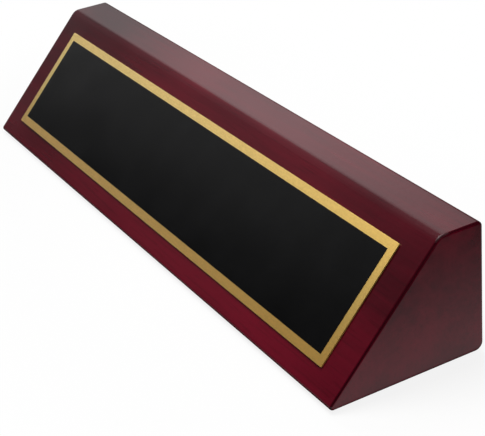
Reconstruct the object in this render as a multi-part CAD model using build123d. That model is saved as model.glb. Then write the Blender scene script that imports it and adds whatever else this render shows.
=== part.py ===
from build123d import *
from math import atan2, hypot, tan
import os

# A desk name plate: a wooden wedge with rounded edges, a brass plate glued to its sloping face,
# a black enamel field on the brass that leaves a bare rim, and felt feet glued under the base.
# Sizes are in millimetres. X runs along the plate, Y from the reader to the back, Z up from the desk.
# The origin is on the desk, under the middle of the block.

# Wooden wedge, to its sharp corners before they are rounded
BLOCK_LENGTH = 266.7
BASE_DEPTH = 59.4
TOP_DEPTH = 16.1
BLOCK_HEIGHT = 46.0

# Rounding of the wedge's edges
FRONT_EDGE_RADIUS = 1.2
CREST_RADIUS = 4.5
BACK_TOP_RADIUS = 1.8
BACK_BASE_RADIUS = 3.0
END_EDGE_RADIUS = 0.9

# Brass plate, placed by its distance from the edges of the sloping face
PLATE_END_MARGIN = 12.3
PLATE_LOWER_MARGIN = 10.0
PLATE_UPPER_MARGIN = 8.3
PLATE_THICKNESS = 0.5
PLATE_CORNER_RADIUS = 0.5
PLATE_EDGE_RADIUS = 0.12

# Layers under and over the brass
TAPE_THICKNESS = 0.15
TAPE_SETBACK = 1.5
ENAMEL_THICKNESS = 0.06
BORDER_WIDTH = 3.2

# Felt feet
PAD_DIAMETER = 12.7
PAD_THICKNESS = 0.7
PAD_ADHESIVE_THICKNESS = 0.1
PAD_ADHESIVE_SETBACK = 0.4
PAD_END_INSET = 8.0
PAD_FRONT_INSET = 8.0
PAD_BACK_INSET = 7.0

# What follows from them
FOOT_HEIGHT = PAD_THICKNESS + PAD_ADHESIVE_THICKNESS
FACE_RUN = BASE_DEPTH - TOP_DEPTH
FACE_LENGTH = hypot(FACE_RUN, BLOCK_HEIGHT)
FACE_ANGLE = atan2(BLOCK_HEIGHT, FACE_RUN)
# The acute front corner loses this much of its reach when it is rounded
FRONT_CUTBACK = FRONT_EDGE_RADIUS / tan(FACE_ANGLE / 2) - FRONT_EDGE_RADIUS
BACK_Y = (BASE_DEPTH - FRONT_CUTBACK) / 2
FRONT_Y = BACK_Y - BASE_DEPTH
PLATE_LENGTH = BLOCK_LENGTH - 2 * PLATE_END_MARGIN
PLATE_WIDTH = FACE_LENGTH - PLATE_LOWER_MARGIN - PLATE_UPPER_MARGIN
UP_SLOPE = Vector(0, FACE_RUN, BLOCK_HEIGHT).normalized()
PLATE_MIDDLE = Vector(0, FRONT_Y, FOOT_HEIGHT) + UP_SLOPE * (PLATE_LOWER_MARGIN + PLATE_WIDTH / 2)
# On the wood behind the plate's middle: x along the plate, y up the slope, z out towards the reader
FACE_PLANE = Plane(PLATE_MIDDLE, x_dir=(1, 0, 0), z_dir=Vector(1, 0, 0).cross(UP_SLOPE))


def wedge_block():
    """The side profile, each long edge with its own radius, drawn out along X and rounded at both ends."""
    top = FOOT_HEIGHT + BLOCK_HEIGHT
    rounded_corners = {
        (FRONT_Y, FOOT_HEIGHT): FRONT_EDGE_RADIUS,
        (FRONT_Y + FACE_RUN, top): CREST_RADIUS,
        (BACK_Y, top): BACK_TOP_RADIUS,
        (BACK_Y, FOOT_HEIGHT): BACK_BASE_RADIUS,
    }
    profile = make_face(Polyline(*rounded_corners, close=True))
    for corner, radius in rounded_corners.items():
        profile = fillet(profile.vertices().sort_by_distance(corner)[0], radius)
    block = extrude(Plane.YZ * profile, BLOCK_LENGTH / 2, both=True)
    ends = block.faces().filter_by(Axis.X)
    return fillet(ends.edges(), END_EDGE_RADIUS)


def sheet_on_face(height, thickness, setback, corner_radius=0):
    """A flat sheet over the sloping face, set back all round from the plate's outline."""
    length = PLATE_LENGTH - 2 * setback
    width = PLATE_WIDTH - 2 * setback
    outline = Rectangle(length, width)
    if corner_radius:
        outline = fillet(outline.vertices(), corner_radius)
    return extrude(FACE_PLANE.offset(height) * outline, thickness)


def brass_plate():
    """The plate, with its front edges broken so that they are not sharp to the touch."""
    plate = sheet_on_face(TAPE_THICKNESS, PLATE_THICKNESS, 0, PLATE_CORNER_RADIUS)
    front = plate.faces().sort_by(Axis(FACE_PLANE.origin, FACE_PLANE.z_dir))[-1]
    return fillet(front.edges(), PLATE_EDGE_RADIUS)


def felt_pad(x, y):
    """A die-cut felt disc that stands on the desk."""
    return extrude(Pos(x, y, 0) * Circle(PAD_DIAMETER / 2), PAD_THICKNESS)


def pad_adhesive(x, y):
    """The adhesive disc between a felt pad and the base, a little smaller than the felt."""
    outline = Circle(PAD_DIAMETER / 2 - PAD_ADHESIVE_SETBACK)
    return extrude(Pos(x, y, PAD_THICKNESS) * outline, PAD_ADHESIVE_THICKNESS)


pieces = {
    "wedge_block": wedge_block(),
    "plate_adhesive": sheet_on_face(0, TAPE_THICKNESS, TAPE_SETBACK),
    "brass_plate": brass_plate(),
    "enamel_field": sheet_on_face(TAPE_THICKNESS + PLATE_THICKNESS, ENAMEL_THICKNESS, BORDER_WIDTH),
}

pad_x = BLOCK_LENGTH / 2 - PAD_END_INSET - PAD_DIAMETER / 2
pad_rows = {
    "front": FRONT_Y + PAD_FRONT_INSET + PAD_DIAMETER / 2,
    "back": BACK_Y - PAD_BACK_INSET - PAD_DIAMETER / 2,
}
for row, y in pad_rows.items():
    for side, x in {"left": -pad_x, "right": pad_x}.items():
        pieces[f"felt_pad_{row}_{side}"] = felt_pad(x, y)
        pieces[f"pad_adhesive_{row}_{side}"] = pad_adhesive(x, y)

os.makedirs("parts", exist_ok=True)
for name, piece in pieces.items():
    piece.label = name
    export_step(piece, f"parts/{name}.step")
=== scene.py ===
import math

import bpy
import numpy as np
from bpy.props import FloatProperty, FloatVectorProperty, IntProperty, PointerProperty
from mathutils import Matrix, Vector


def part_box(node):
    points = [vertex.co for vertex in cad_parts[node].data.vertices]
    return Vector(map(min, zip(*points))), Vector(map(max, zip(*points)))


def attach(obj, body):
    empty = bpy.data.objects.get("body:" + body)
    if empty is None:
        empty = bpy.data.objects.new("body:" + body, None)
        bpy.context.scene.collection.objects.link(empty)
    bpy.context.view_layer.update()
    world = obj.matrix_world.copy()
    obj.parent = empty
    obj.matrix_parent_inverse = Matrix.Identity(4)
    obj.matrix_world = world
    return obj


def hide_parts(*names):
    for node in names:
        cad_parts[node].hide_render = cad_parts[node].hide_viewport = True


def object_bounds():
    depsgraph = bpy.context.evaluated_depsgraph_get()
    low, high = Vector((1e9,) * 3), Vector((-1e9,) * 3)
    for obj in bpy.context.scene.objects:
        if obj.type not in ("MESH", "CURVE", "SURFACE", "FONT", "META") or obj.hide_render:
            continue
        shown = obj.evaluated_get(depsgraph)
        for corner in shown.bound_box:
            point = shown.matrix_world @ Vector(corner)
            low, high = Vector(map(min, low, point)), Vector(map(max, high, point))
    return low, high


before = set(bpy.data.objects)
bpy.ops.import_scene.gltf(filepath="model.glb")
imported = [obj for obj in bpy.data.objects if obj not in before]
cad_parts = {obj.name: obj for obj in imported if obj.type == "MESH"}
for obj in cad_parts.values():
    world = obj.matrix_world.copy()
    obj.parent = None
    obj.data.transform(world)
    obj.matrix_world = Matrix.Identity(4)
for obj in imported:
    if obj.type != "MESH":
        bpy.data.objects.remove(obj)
CAD_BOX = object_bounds()

bl_info = {
    "name": "Desk Name Plate",
    "version": (1, 0, 0),
    "blender": (4, 5, 0),
    "location": "View3D > Sidebar > Name Plate",
    "description": "Finishes a wooden desk wedge with its brass plate, black enamel field and felt feet",
    "category": "Object",
}

BODY = "root"
FEET = ("front_left", "front_right", "back_left", "back_right")
HALF_LENGTH, HALF_DEPTH, HEIGHT = CAD_BOX[1]
WHITE = (1.0, 1.0, 1.0)

# Numbers of the Mix node's sockets for colours, whose names it also gives to other sockets
MIX_SHARE, MIX_FIRST, MIX_SECOND, MIX_RESULT = 0, 6, 7, 2


# Shader graphs

class Wire:
    """A node's output that takes part in Python arithmetic; every operator on it adds a Math node."""

    def __init__(self, graph, node, output=0):
        self.graph = graph
        self.node = node
        self.output = output

    @property
    def socket(self):
        return self.node.outputs[self.output]

    def __getitem__(self, output):
        return Wire(self.graph, self.node, output)

    def math(self, operation, *values):
        inputs = dict(enumerate(values))
        return self.graph.add("ShaderNodeMath", {"operation": operation}, inputs)

    def __add__(self, other):
        return self.math("ADD", self, other)

    def __radd__(self, other):
        return self.math("ADD", other, self)

    def __sub__(self, other):
        return self.math("SUBTRACT", self, other)

    def __rsub__(self, other):
        return self.math("SUBTRACT", other, self)

    def __mul__(self, other):
        return self.math("MULTIPLY", self, other)

    def __rmul__(self, other):
        return self.math("MULTIPLY", other, self)

    def __pow__(self, other):
        return self.math("POWER", self, other)

    def __abs__(self):
        return self.math("ABSOLUTE", self)

    def higher(self, other):
        return self.math("MAXIMUM", self, other)

    def turn_from(self, other):
        """Degrees of the angle whose tangent is this value over the other."""
        return self.math("ARCTAN2", self, other) * math.degrees(1.0)

    def rise(self, low, high):
        """0 below low, 1 above high and an S-shaped rise between them."""
        inputs = {"Value": self, "From Min": low, "From Max": high}
        return self.graph.add("ShaderNodeMapRange", {"interpolation_type": "SMOOTHSTEP"}, inputs)

    def fade(self, low, high):
        """1 below low, 0 above high and an S-shaped fall between them."""
        return 1.0 - self.rise(low, high)


class Graph:
    """The node tree of a material or a world, which is emptied and then filled by one method."""

    def __init__(self, owner):
        owner.use_nodes = True
        self.owner = owner
        self.tree = owner.node_tree
        self.tree.nodes.clear()

    @classmethod
    def of_material(cls, name):
        return cls(bpy.data.materials.new(name))

    def add(self, kind, settings=None, inputs=None):
        """Adds a node: its settings first, then a value or a link for each named or numbered socket."""
        node = self.tree.nodes.new(kind)
        for name, value in (settings or {}).items():
            setattr(node, name, value)
        for name, value in (inputs or {}).items():
            if isinstance(value, Wire):
                self.tree.links.new(value.socket, node.inputs[name])
            else:
                node.inputs[name].default_value = value
        return Wire(self, node)

    def place(self):
        """A point's place in the object's own coordinates, in metres."""
        return self.add("ShaderNodeTexCoord")["Object"]

    def axes(self, vector):
        """The three coordinates of a vector."""
        parts = self.add("ShaderNodeSeparateXYZ", inputs={"Vector": vector})
        return parts["X"], parts["Y"], parts["Z"]

    def along(self, direction, start):
        """A point's distance from a start point in one direction, in metres."""
        inputs = {0: self.place(), 1: direction}
        reach = self.add("ShaderNodeVectorMath", {"operation": "DOT_PRODUCT"}, inputs)["Value"]
        return reach - float(start @ direction)

    def noise(self, cells, detail=2.0, roughness=0.5, distortion=0.0):
        """Noise from 0 to 1 about one half, with so many cells to a metre along X, Y and Z."""
        stretched = self.add("ShaderNodeMapping", inputs={"Vector": self.place(), "Scale": cells})
        inputs = {
            "Vector": stretched,
            "Scale": 1.0,
            "Detail": detail,
            "Roughness": roughness,
            "Distortion": distortion,
        }
        return self.add("ShaderNodeTexNoise", inputs=inputs)

    def mix(self, share, first, second):
        """The first colour where share is 0, and the second where it is 1."""
        inputs = {MIX_SHARE: share, MIX_FIRST: first, MIX_SECOND: second}
        return self.add("ShaderNodeMix", {"data_type": "RGBA"}, inputs)[MIX_RESULT]

    def bump(self, height, distance, normal=None):
        """The normal of a relief of this height times distance, over another normal if one is given."""
        inputs = {"Height": height, "Distance": distance}
        if normal:
            inputs["Normal"] = normal
        return self.add("ShaderNodeBump", inputs=inputs)

    def surface(self, **inputs):
        """A Principled shader on the material's output; an input's name has _ for a space."""
        named = {name.replace("_", " "): value for name, value in inputs.items()}
        shader = self.add("ShaderNodeBsdfPrincipled", inputs=named)
        self.add("ShaderNodeOutputMaterial", inputs={"Surface": shader})
        return self.owner


def opaque(colour, shade=1.0):
    """A colour with full alpha, made darker or lighter by shade."""
    return (*(shade * channel for channel in colour), 1.0)


# Places read from the frame

def points_of(node):
    """A CAD node's vertices as an array of rows."""
    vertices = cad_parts[node].data.vertices
    points = np.empty(len(vertices) * 3)
    vertices.foreach_get("co", points)
    return points.reshape(-1, 3)


def enamel_face():
    """The middle of the enamel's front face, the direction up its slope and its width that way."""
    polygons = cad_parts["enamel_field"].data.polygons
    widest = max(polygons, key=lambda polygon: polygon.area)
    out = np.array(widest.normal)
    if out[2] < 0:
        out = -out
    up = np.cross(out, (1.0, 0.0, 0.0))
    points = points_of("enamel_field")
    reach = points @ out
    front = points[reach > (reach.min() + reach.max()) / 2]
    middle = (front.min(0) + front.max(0)) / 2
    return middle, up, np.ptp(front @ up)


# Meshes

def ring_faces(rings, sides):
    """Quads between closed rings of vertices, and triangles from the last two vertices to the end rings."""
    ring, side = np.meshgrid(np.arange(rings - 1), np.arange(sides), indexing="ij")
    here = ring * sides + side
    beside = ring * sides + (side + 1) % sides
    quads = np.stack((here, beside, beside + sides, here + sides), axis=-1).reshape(-1, 4)
    first = np.arange(sides)
    second = (first + 1) % sides
    start_pole = rings * sides
    last_ring = (rings - 1) * sides
    start_fan = np.stack((np.full(sides, start_pole), second, first), axis=-1)
    end_fan = np.stack((np.full(sides, start_pole + 1), last_ring + first, last_ring + second), axis=-1)
    return [*quads.tolist(), *start_fan.tolist(), *end_fan.tolist()]


def new_piece(name, points, faces, material, smooth=True):
    """A mesh object in the scene, with its place in its vertices."""
    mesh = bpy.data.meshes.new(name)
    mesh.from_pydata(points.tolist(), [], faces)
    mesh.polygons.foreach_set("use_smooth", np.full(len(faces), smooth))
    mesh.materials.append(material)
    mesh.update()
    piece = bpy.data.objects.new(name, mesh)
    bpy.context.scene.collection.objects.link(piece)
    return piece


def finish_node(node, material):
    """Gives a CAD node its finished material."""
    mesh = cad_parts[node].data
    mesh.materials.clear()
    mesh.materials.append(material)


# Settings

class WoodSettings(bpy.types.PropertyGroup):
    """Stain, grain and lacquer of the wedge"""

    stain: FloatVectorProperty(
        name="Stain", description="Colour of the stained wood under the lacquer",
        subtype="COLOR", size=3, min=0.0, max=1.0, default=(0.178, 0.0033, 0.0168),
    )
    # Also the colour of the painted shade on the end edges
    dark_stain_and_edge_shade: FloatVectorProperty(
        name="Dark stain", description="Colour of the denser streaks of grain and of the end edges",
        subtype="COLOR", size=3, min=0.0, max=1.0, default=(0.032, 0.0008, 0.0040),
    )
    grain_length: FloatProperty(
        name="Grain length", description="Length of a streak of grain along the block",
        subtype="DISTANCE", min=0.001, default=0.075,
    )
    grain_width: FloatProperty(
        name="Grain width", description="Width of a streak of grain across the block",
        subtype="DISTANCE", min=0.0001, default=0.0035,
    )
    pore_depth: FloatProperty(
        name="Pore depth", description="How far the pores darken the stain",
        subtype="FACTOR", min=0.0, max=1.0, default=0.21,
    )
    gloss_roughness: FloatProperty(
        name="Lacquer roughness", description="Roughness of the satin-gloss lacquer",
        subtype="FACTOR", min=0.0, max=1.0, default=0.18,
    )
    peel_depth: FloatProperty(
        name="Orange peel", description="Depth of the lacquer's orange peel",
        subtype="DISTANCE", min=0.0, default=0.00002,
    )


class PlateSettings(bpy.types.PropertyGroup):
    """Colours and gloss of the brass plate and its enamel"""

    brass: FloatVectorProperty(
        name="Brass", description="Colour of the bare brass",
        subtype="COLOR", size=3, min=0.0, max=1.0, default=(0.86, 0.585, 0.155),
    )
    # Painted highlight: the brass is paled to this colour at its left end, standing in for light
    painted_highlight_brass: FloatVectorProperty(
        name="Pale brass", description="Colour of the brass at its left end, where it is burnished most",
        subtype="COLOR", size=3, min=0.0, max=1.0, default=(1.0, 0.77, 0.315),
    )
    # Painted shade: the brass is warmed and darkened to this colour towards its lower edge
    painted_shade_brass: FloatVectorProperty(
        name="Warm brass", description="Colour that the brass tends to towards its lower edge",
        subtype="COLOR", size=3, min=0.0, max=1.0, default=(0.97, 0.50, 0.085),
    )
    brass_roughness: FloatProperty(
        name="Brass roughness", description="Roughness of the satin brass",
        subtype="FACTOR", min=0.0, max=1.0, default=0.6,
    )
    crown: FloatProperty(
        name="Crown", description="How far the sheet leans back at its long edges from a slight crown",
        subtype="ANGLE", default=math.radians(8.0),
    )
    enamel_crown: FloatProperty(
        name="Enamel crown",
        description="What is left of the crown at the enamel's long edges, as it flows level",
        subtype="ANGLE", default=math.radians(4.0),
    )
    enamel: FloatVectorProperty(
        name="Enamel", description="Colour of the black enamel",
        subtype="COLOR", size=3, min=0.0, max=1.0, default=(0.0032, 0.0032, 0.0034),
    )
    enamel_roughness: FloatProperty(
        name="Enamel roughness", description="Roughness of the semi-gloss enamel",
        subtype="FACTOR", min=0.0, max=1.0, default=0.2,
    )


class FeltSettings(bpy.types.PropertyGroup):
    """Felt feet and the adhesive films"""

    colour: FloatVectorProperty(
        name="Felt", description="Colour of the felt feet",
        subtype="COLOR", size=3, min=0.0, max=1.0, default=(0.03, 0.028, 0.028),
    )
    film: FloatVectorProperty(
        name="Adhesive", description="Colour of the adhesive films",
        subtype="COLOR", size=3, min=0.0, max=1.0, default=(0.72, 0.68, 0.58),
    )
    sides: IntProperty(
        name="Sides", description="Points round the edge of a felt foot", min=12, default=96,
    )


class StageSettings(bpy.types.PropertyGroup):
    """Camera, floor, lights and sky"""

    camera_place: FloatVectorProperty(
        name="Camera", description="Where the camera stands",
        subtype="XYZ", unit="LENGTH", size=3, default=(0.43826, -0.21217, 0.25534),
    )
    azimuth: FloatProperty(
        name="Azimuth", description="How far the camera stands round to the right of the front",
        subtype="ANGLE", default=math.radians(62.381),
    )
    elevation: FloatProperty(
        name="Elevation", description="How far the camera looks down",
        subtype="ANGLE", default=math.radians(27.648),
    )
    roll: FloatProperty(
        name="Roll", description="How far the camera is turned about its own line of sight",
        subtype="ANGLE", default=math.radians(-5.320),
    )
    lens: FloatProperty(
        name="Lens", description="Focal length on a sensor 36 mm wide",
        subtype="DISTANCE_CAMERA", default=106.923,
    )
    floor_colour: FloatVectorProperty(
        name="Floor", description="Colour of the floor as the object sees it",
        subtype="COLOR", size=3, min=0.0, max=1.0, default=(0.7, 0.7, 0.7),
    )
    floor_glow: FloatProperty(
        name="Floor glow", description="Brightness of the floor beside the object in its reflections",
        min=0.0, default=0.87,
    )
    top_place: FloatVectorProperty(
        name="Top light", description="Where the overhead panel hangs",
        subtype="XYZ", unit="LENGTH", size=3, default=(-0.12, 0.0, 0.70),
    )
    top_size: FloatVectorProperty(
        name="Top size", description="Length and width of the overhead panel",
        subtype="XYZ", unit="LENGTH", size=2, default=(0.50, 0.40),
    )
    top_power: FloatProperty(
        name="Top power", description="Power of the overhead panel",
        subtype="POWER", min=0.0, default=4.9,
    )
    side_place: FloatVectorProperty(
        name="Side light", description="Where the panel over the right end hangs",
        subtype="XYZ", unit="LENGTH", size=3, default=(0.41, -0.02, 0.23),
    )
    side_size: FloatVectorProperty(
        name="Side size", description="Length and width of the panel over the right end",
        subtype="XYZ", unit="LENGTH", size=2, default=(0.14, 0.14),
    )
    side_power: FloatProperty(
        name="Side power", description="Power of the panel over the right end",
        subtype="POWER", min=0.0, default=0.46,
    )
    sky_before: FloatProperty(
        name="Sky before",
        description="Brightness of the sky beyond the object's left end, overhead and towards the front",
        min=0.0, default=0.31,
    )
    sky_behind: FloatProperty(
        name="Sky behind",
        description="Brightness of the sky beyond the object's left end, in a band towards the back",
        min=0.0, default=0.97,
    )
    sky_far: FloatProperty(
        name="Sky at the left",
        description="Brightness that is added in the line of the object's length, at its left",
        min=0.0, default=1.6,
    )
    ambient: FloatProperty(
        name="Ambient", description="Brightness of the rest of the sky",
        min=0.0, default=0.016,
    )


# Materials

def lacquered_wood(wood):
    """Stained hardwood under satin-gloss lacquer, with streaks of grain and pores along X.

    The colour is lighter in the middle of the length and near the base, as painted light, and darker along
    the right of the crest. A fine dark line of painted shade runs along the end edges. The lacquer has a
    trace of orange peel.
    """
    graph = Graph.of_material("lacquered_wood")
    along, across = 1 / wood.grain_length, 1 / wood.grain_width
    streaks = graph.noise((along, across, across), detail=4.0, roughness=0.6)
    mottle = graph.noise((14.0, 45.0, 45.0))
    pores = graph.noise((55.0, 1100.0, 1100.0), roughness=0.6)
    sheen = graph.noise((30.0, 60.0, 60.0))
    peel = graph.noise((420.0, 420.0, 420.0), detail=1.0)

    lightest_x, crest_y = 0.03, 0.0140
    x, y, z = graph.axes(graph.place())
    from_end = HALF_LENGTH - abs(x)
    from_lightest = abs(x - lightest_x)
    under_top = HEIGHT - z
    behind_crest = y - crest_y
    # Painted light: the colour is lighter in the middle of the length and near the base; it is darker along
    # the right of the crest
    middle = from_lightest.fade(0.04, 0.14)
    low = z.fade(0.004, 0.03)
    crest = under_top.fade(0.0006, 0.0022) * behind_crest.fade(0.0, 0.0035) * x.rise(-0.03, 0.12)
    # Painted shade: a fine dark line along the rounded end edges
    painted_edge_shade = from_end.fade(0.0004, 0.0010) * from_end.rise(0.00002, 0.0002)

    figure = (streaks * 0.4 + mottle * 0.6).rise(0.3, 0.72)
    # Grain mixed with the painted light in the middle and near the base, and darker along the right of the
    # crest
    grain_and_painted_light = figure * 0.4 + middle * 0.35 + low * 0.25 - crest * 0.2
    stained = graph.mix(grain_and_painted_light, opaque(wood.dark_stain_and_edge_shade), opaque(wood.stain))
    pored = graph.mix(pores.rise(0.54, 0.68) * wood.pore_depth, stained, opaque(wood.dark_stain_and_edge_shade, 0.5))
    # Painted shade laid on the end edges
    colour = graph.mix(painted_edge_shade, pored, opaque(wood.dark_stain_and_edge_shade))
    roughness = wood.gloss_roughness + (sheen - 0.5) * 0.08 + painted_edge_shade * crest * 0.6
    normal = graph.bump(peel, distance=wood.peel_depth)
    return graph.surface(Base_Color=colour, Roughness=roughness, Normal=normal)


def crown(graph, lean):
    """Normal of a sheet with a slight crown, which leans back by this angle at its long edges.

    The sheet's height falls with the square of the distance from its middle line.
    """
    middle, up, width = enamel_face()
    upward = graph.along(up, middle)
    fall = math.tan(lean) / width
    return graph.bump(upward * upward * -fall, distance=1.0)


def satin_brass(plate):
    """Brass with a fine satin grain along the plate, with a painted highlight that pales it to its left and
    painted shade that makes it warmer to its lower edge.
    """
    graph = Graph.of_material("satin_brass")
    grain = graph.noise((260.0, 2600.0, 2600.0), detail=3.0, roughness=0.7)
    speckle = graph.noise((1500.0, 1500.0, 1500.0))
    x, _, z = graph.axes(graph.place())
    # Painted highlight: the brass is paled towards its left end
    painted_highlight_left = graph.mix(x.rise(-0.06, 0.16), opaque(plate.painted_highlight_brass), opaque(plate.brass))
    # Painted shade: the brass turns warmer and darker towards its lower edge
    low = z.fade(0.008, 0.026)
    painted_light_and_shade = graph.mix(low * 0.45, painted_highlight_left, opaque(plate.painted_shade_brass))
    dull = (grain * 0.5 + speckle * 0.5).fade(0.3, 0.7)
    colour = graph.mix(dull * 0.6, painted_light_and_shade, opaque(plate.brass, 0.8))
    roughness = plate.brass_roughness + (grain - 0.5) * 0.16
    scratches = grain * 0.6 + speckle * 0.4
    normal = graph.bump(scratches, distance=0.00001, normal=crown(graph, plate.crown))
    return graph.surface(
        Base_Color=colour, Metallic=0.82, Roughness=roughness, Normal=normal,
        Coat_Weight=0.6, Coat_Roughness=0.25,
    )


def black_enamel(plate):
    """Smooth baked enamel with a barely visible unevenness of gloss."""
    graph = Graph.of_material("black_enamel")
    cloud = graph.noise((60.0, 60.0, 60.0), detail=3.0)
    peel = graph.noise((700.0, 700.0, 700.0), detail=1.0)
    colour = graph.mix(cloud.rise(0.35, 0.7), opaque(plate.enamel), opaque(plate.enamel, 1.5))
    roughness = plate.enamel_roughness + (cloud - 0.5) * 0.08
    normal = graph.bump(peel, distance=0.00001, normal=crown(graph, plate.enamel_crown))
    return graph.surface(Base_Color=colour, Roughness=roughness, Specular_IOR_Level=0.33, Normal=normal)


def pressed_felt(felt):
    """Matted wool: fine crossed fibres in two shades with a soft sheen."""
    graph = Graph.of_material("pressed_felt")
    fibres = graph.noise((2600.0, 900.0, 1800.0), detail=4.0, roughness=0.7, distortion=1.5)
    colour = graph.mix(fibres.rise(0.35, 0.75), opaque(felt.colour), opaque(felt.colour, 2.2))
    normal = graph.bump(fibres, distance=0.0002)
    return graph.surface(Base_Color=colour, Roughness=0.95, Sheen_Weight=0.3, Normal=normal)


def adhesive_film(felt):
    """Pale double-sided film with the slight unevenness of glue."""
    graph = Graph.of_material("adhesive_film")
    glue = graph.noise((500.0, 500.0, 500.0), detail=3.0)
    colour = graph.mix(glue.rise(0.3, 0.7), opaque(felt.film, 0.8), opaque(felt.film))
    roughness = 0.45 + glue * 0.2
    normal = graph.bump(glue, distance=0.00002)
    return graph.surface(Base_Color=colour, Roughness=roughness, Normal=normal)


def studio_floor(stage):
    """A satin sheet that is white to the camera, with the object's shadow, and pale grey to the object.

    In the object's reflections it has a painted shadow close to the object, and beyond the right end a
    painted glow, less and less with the distance.
    """
    graph = Graph.of_material("studio_floor")
    x, y, _ = graph.axes(graph.place())
    beside = (abs(x) - HALF_LENGTH).higher(0.0)
    before = (abs(y) - HALF_DEPTH).higher(0.0)
    distance = (beside * beside + before * before) ** 0.5
    past_end = x - HALF_LENGTH
    path = graph.add("ShaderNodeLightPath")
    seen, mirrored = path["Is Camera Ray"], path["Is Glossy Ray"]

    # Painted shadow: in the object's reflections the floor is near black close to the object
    painted_contact_shadow = mirrored * distance.fade(0.0, 0.015)
    unseen = graph.mix(painted_contact_shadow, opaque(stage.floor_colour), opaque(WHITE, 0.02))
    colour = graph.mix(seen, unseen, opaque(WHITE, 0.95))
    sheet = graph.add("ShaderNodeBsdfPrincipled", inputs={"Base Color": colour, "Roughness": 0.12})

    # Painted glow: in the object's reflections the floor glows beyond the right end, fading with the
    # distance
    fading = stage.floor_glow * past_end.fade(-0.05, 0.105)
    glow = graph.mix(seen + mirrored * fading, opaque(WHITE, 0.0), opaque(WHITE))
    shining = graph.add("ShaderNodeEmission", inputs={"Color": glow})

    shadow_depth, shadow_reach = 0.15, 0.12
    clear_of_shadow = 1.0 - shadow_depth * distance.fade(0.0, shadow_reach)
    share = seen * clear_of_shadow + mirrored * past_end.rise(0.0005, 0.003)
    mixed = graph.add("ShaderNodeMixShader", inputs={0: share, 1: sheet, 2: shining})
    graph.add("ShaderNodeOutputMaterial", inputs={"Surface": mixed})
    return graph.owner


# Pieces

class NAMEPLATE_OT_wedge(bpy.types.Operator):
    """Stain and lacquer the wooden wedge"""

    bl_idname = "nameplate.wedge"
    bl_label = "Lacquer Wedge"

    def execute(self, context):
        finish_node("wedge_block", lacquered_wood(context.scene.nameplate_wood))
        return {"FINISHED"}


class NAMEPLATE_OT_plate(bpy.types.Operator):
    """Finish the brass plate and its enamel field"""

    bl_idname = "nameplate.plate"
    bl_label = "Finish Plate"

    def execute(self, context):
        plate = context.scene.nameplate_plate
        finish_node("brass_plate", satin_brass(plate))
        finish_node("enamel_field", black_enamel(plate))
        return {"FINISHED"}


class NAMEPLATE_OT_adhesive(bpy.types.Operator):
    """Finish the adhesive films behind the plate and over the feet"""

    bl_idname = "nameplate.adhesive"
    bl_label = "Finish Adhesive"

    def execute(self, context):
        film = adhesive_film(context.scene.nameplate_felt)
        for node in ("plate_adhesive", *(f"pad_adhesive_{foot}" for foot in FEET)):
            finish_node(node, film)
        return {"FINISHED"}


def felt_disc(low, high, sides):
    """A disc between two corners, as rings from its underside out round the edge to its top.

    The section is a superellipse, so the faces are flat and the edge is round. The edge's radius wavers
    by a product of two waves round the disc, as die-cut felt does.
    """
    section_points = 32
    superellipse_power = 0.24
    waver_depth = 0.006
    angle = np.linspace(0.0, 2 * math.pi, sides, endpoint=False)
    section = np.linspace(-math.pi / 2, math.pi / 2, section_points + 2)[1:-1]
    reach = np.abs(np.cos(section)) ** superellipse_power
    rise = np.sign(np.sin(section)) * np.abs(np.sin(section)) ** superellipse_power
    waves = np.sin(17 * angle + 1.0) * np.cos(5 * angle)
    waver = 1 - waver_depth * (1 + waves)
    middle = (low + high) / 2
    half = (high - low) / 2
    x = middle[0] + half[0] * np.outer(reach, waver * np.cos(angle))
    y = middle[1] + half[1] * np.outer(reach, waver * np.sin(angle))
    z = middle[2] + half[2] * np.outer(rise, np.ones(sides))
    rings = np.stack((x, y, z), axis=-1).reshape(-1, 3)
    poles = np.array([(middle[0], middle[1], low[2]), (middle[0], middle[1], high[2])])
    return np.vstack((rings, poles)), ring_faces(section_points, sides)


class NAMEPLATE_OT_feet(bpy.types.Operator):
    """Make the four felt feet"""

    bl_idname = "nameplate.feet"
    bl_label = "Make Feet"

    def execute(self, context):
        felt = context.scene.nameplate_felt
        material = pressed_felt(felt)
        for foot in FEET:
            node = f"felt_pad_{foot}"
            low, high = (np.array(corner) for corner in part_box(node))
            points, faces = felt_disc(low, high, felt.sides)
            piece = new_piece(f"felt_foot_{foot}", points, faces, material)
            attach(piece, BODY)
            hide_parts(node)
        return {"FINISHED"}


# Stage

def light_studio(stage):
    """A dim sky that is white to the camera and glows beyond the object's left end.

    The glow follows how far a direction points to the left and its lean about the object's length, which is
    0 degrees overhead, 90 at the front horizon and -90 at the back. It is even overhead, fades towards the
    front, has a brighter band towards the back and is brightest straight to the left.
    """
    world = bpy.data.worlds.new("studio")
    bpy.context.scene.world = world
    graph = Graph(world)
    x, y, z = graph.axes(graph.add("ShaderNodeTexCoord")["Generated"])
    leftward, forward = 0.0 - x, 0.0 - y
    lean = forward.turn_from(z)

    overhead = lean.fade(36.0, 70.0)
    overhead_left = leftward.rise(0.64, 0.80) * (1.0 - 0.48 * leftward.rise(0.80, 0.88))
    before = stage.sky_before * overhead * overhead_left
    band = lean.rise(-62.0, -52.0) * lean.fade(-37.0, -13.0)
    band_left = leftward.rise(0.52, 0.68) * (1.0 - 0.42 * leftward.rise(0.81, 0.89))
    behind = (stage.sky_behind - stage.sky_before) * band * band_left
    far = stage.sky_far * leftward.rise(0.91, 0.965)
    glow = stage.ambient + before + behind + far

    seen = graph.add("ShaderNodeLightPath")["Is Camera Ray"]
    strength = glow + seen * (1.0 - glow)
    background = graph.add("ShaderNodeBackground", inputs={"Color": opaque(WHITE), "Strength": strength})
    graph.add("ShaderNodeOutputWorld", inputs={"Surface": background})


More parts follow.
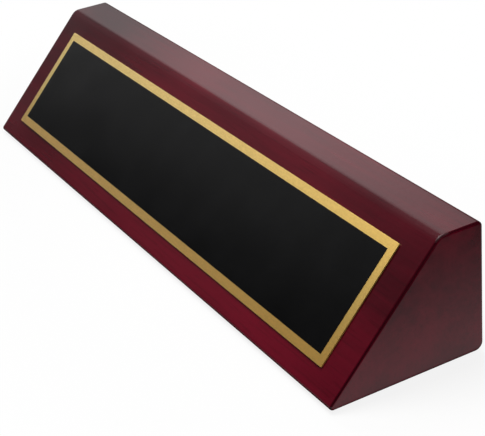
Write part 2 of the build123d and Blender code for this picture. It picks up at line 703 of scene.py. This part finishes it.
def hang_panel(name, place, size, power):
    """A rectangular area lamp that faces the object."""
    lamp = bpy.data.lights.new(name, "AREA")
    lamp.shape = "RECTANGLE"
    lamp.size, lamp.size_y = size
    lamp.energy = power
    panel = bpy.data.objects.new(name, lamp)
    aim = Vector((0.0, 0.0, 0.02))
    facing = (aim - Vector(place)).to_track_quat("-Z", "Y")
    panel.matrix_world = Matrix.Translation(place) @ facing.to_matrix().to_4x4()
    bpy.context.scene.collection.objects.link(panel)
    return panel


def lay_floor(stage):
    """A square sheet on the plane that the object stands on."""
    reach = 8.0
    corners = np.array([(-reach, -reach, 0), (reach, -reach, 0), (reach, reach, 0), (-reach, reach, 0)])
    floor = new_piece("studio_floor", corners, [(0, 1, 2, 3)], studio_floor(stage), smooth=False)


def stand_camera(stage):
    """A camera at its place, looking along its azimuth and elevation and turned by its roll."""
    data = bpy.data.cameras.new("camera")
    data.lens = stage.lens
    data.clip_start = 0.01
    camera = bpy.data.objects.new("camera", data)
    level = math.cos(stage.elevation)
    back = Vector((
        math.sin(stage.azimuth) * level,
        -math.cos(stage.azimuth) * level,
        math.sin(stage.elevation),
    ))
    facing = (-back).to_track_quat("-Z", "Y").to_matrix()
    turned = facing @ Matrix.Rotation(stage.roll, 3, "Z")
    camera.matrix_world = Matrix.Translation(stage.camera_place) @ turned.to_4x4()
    bpy.context.scene.collection.objects.link(camera)
    bpy.context.scene.camera = camera


class NAMEPLATE_OT_stage(bpy.types.Operator):
    """Lay the floor, hang the lights and stand the camera"""

    bl_idname = "nameplate.stage"
    bl_label = "Set Stage"

    def execute(self, context):
        stage = context.scene.nameplate_stage
        context.scene.view_settings.view_transform = "Standard"
        light_studio(stage)
        hang_panel("top_panel", stage.top_place, stage.top_size, stage.top_power)
        side_panel = hang_panel("side_panel", stage.side_place, stage.side_size, stage.side_power)
        side_panel.visible_glossy = False
        lay_floor(stage)
        stand_camera(stage)
        return {"FINISHED"}


class NAMEPLATE_PT_panel(bpy.types.Panel):
    """The name plate's pieces, in the order in which they are finished"""

    bl_idname = "NAMEPLATE_PT_panel"
    bl_label = "Desk Name Plate"
    bl_space_type = "VIEW_3D"
    bl_region_type = "UI"
    bl_category = "Name Plate"

    def draw(self, context):
        for operator in OPERATORS:
            self.layout.operator(operator.bl_idname)
        for name in SETTINGS:
            group = getattr(context.scene, name)
            box = self.layout.box()
            for key in group.__annotations__:
                box.prop(group, key)


OPERATORS = (
    NAMEPLATE_OT_wedge,
    NAMEPLATE_OT_plate,
    NAMEPLATE_OT_adhesive,
    NAMEPLATE_OT_feet,
    NAMEPLATE_OT_stage,
)
SETTINGS = {
    "nameplate_wood": WoodSettings,
    "nameplate_plate": PlateSettings,
    "nameplate_felt": FeltSettings,
    "nameplate_stage": StageSettings,
}
CLASSES = (*SETTINGS.values(), *OPERATORS, NAMEPLATE_PT_panel)


def register():
    for cls in CLASSES:
        bpy.utils.register_class(cls)
    for name, group in SETTINGS.items():
        setattr(bpy.types.Scene, name, PointerProperty(type=group))


def unregister():
    for name in SETTINGS:
        delattr(bpy.types.Scene, name)
    for cls in reversed(CLASSES):
        bpy.utils.unregister_class(cls)


def main():
    register()
    bpy.ops.nameplate.wedge()
    bpy.ops.nameplate.plate()
    bpy.ops.nameplate.adhesive()
    bpy.ops.nameplate.feet()
    bpy.ops.nameplate.stage()


if __name__ == "__main__":
    main()
